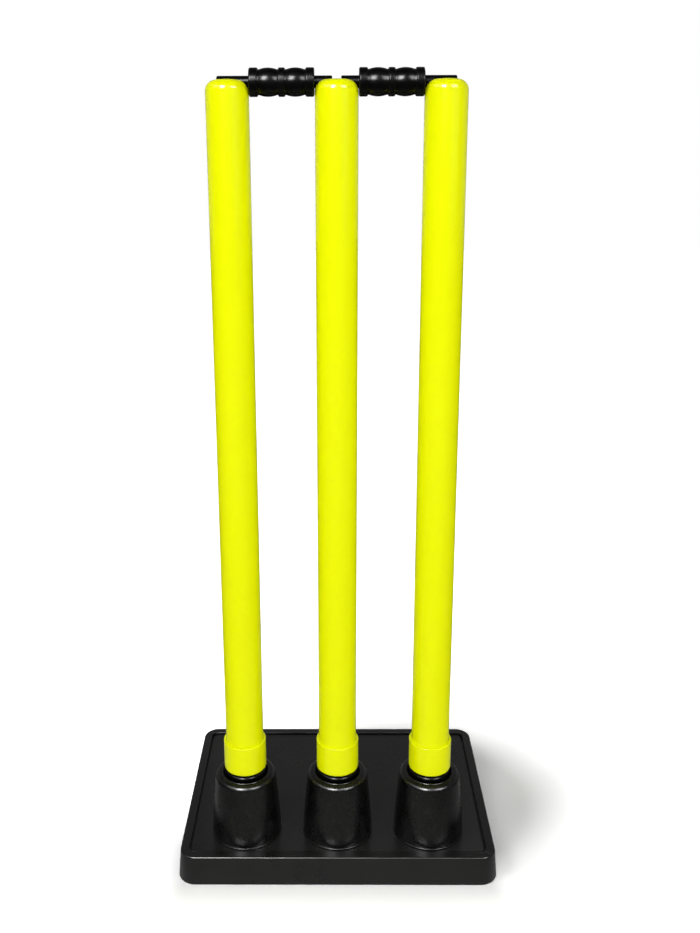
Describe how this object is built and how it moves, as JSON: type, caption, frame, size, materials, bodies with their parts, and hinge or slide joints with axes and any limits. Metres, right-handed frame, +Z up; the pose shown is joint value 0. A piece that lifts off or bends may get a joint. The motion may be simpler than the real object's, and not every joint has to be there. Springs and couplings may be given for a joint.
{
  "type": "cricket stumps",
  "caption": "Free-standing wicket: domed yellow stumps in black rubber sockets on a low weighted base, with turned black bails lying in grooves across the stump tops.",
  "frame": {"origin": "middle of the base's underside, on the floor", "axes": "+X along the row of stumps to the right as seen from the front, +Y from the front of the base to its back, +Z up"},
  "size_m": [0.3258, 0.2318, 0.7904],
  "materials": {
    "yellow_plastic": "satin-gloss moulded plastic, fluorescent yellow",
    "black_plastic": "glossy black moulded plastic",
    "black_rubber": "moulded rubber, faintly mottled",
    "base_plastic": "very dark grey satin moulded plastic",
    "weight_iron": "rough cast slab, out of sight",
    "screw_steel": "zinc-plated screws"
  },
  "bodies": {
    "base": {"base_cover": "base_plastic", "base_plate": "base_plastic", "base_weight": "weight_iron", "front_screw_1": "screw_steel", "front_screw_2": "screw_steel", "front_screw_3": "screw_steel", "front_screw_4": "screw_steel", "back_screw_1": "screw_steel", "back_screw_2": "screw_steel", "back_screw_3": "screw_steel", "back_screw_4": "screw_steel", "left_socket": "black_rubber", "middle_socket": "black_rubber", "right_socket": "black_rubber", "middle_foot": "black_plastic", "middle_tube": "yellow_plastic", "middle_collar": "yellow_plastic"},
    "left_stump": {"left_foot": "black_plastic", "left_tube": "yellow_plastic", "left_collar": "yellow_plastic"},
    "right_stump": {"right_foot": "black_plastic", "right_tube": "yellow_plastic", "right_collar": "yellow_plastic"},
    "left_bail": {"left_bail": "black_plastic"},
    "right_bail": {"right_bail": "black_plastic"}
  },
  "joints": [
    {"name": "left_stump_lift", "type": "slide", "parent": "base", "child": "left_stump", "axis": [0, 0, 1], "range_m": [0, 0.08]},
    {"name": "right_stump_lift", "type": "slide", "parent": "base", "child": "right_stump", "axis": [0, 0, 1], "range_m": [0, 0.08]},
    {"name": "left_bail_lift", "type": "slide", "parent": "left_stump", "child": "left_bail", "axis": [0, 0, 1], "range_m": [0, 0.06]},
    {"name": "right_bail_lift", "type": "slide", "parent": "right_stump", "child": "right_bail", "axis": [0, 0, 1], "range_m": [0, 0.06]}
  ]
}
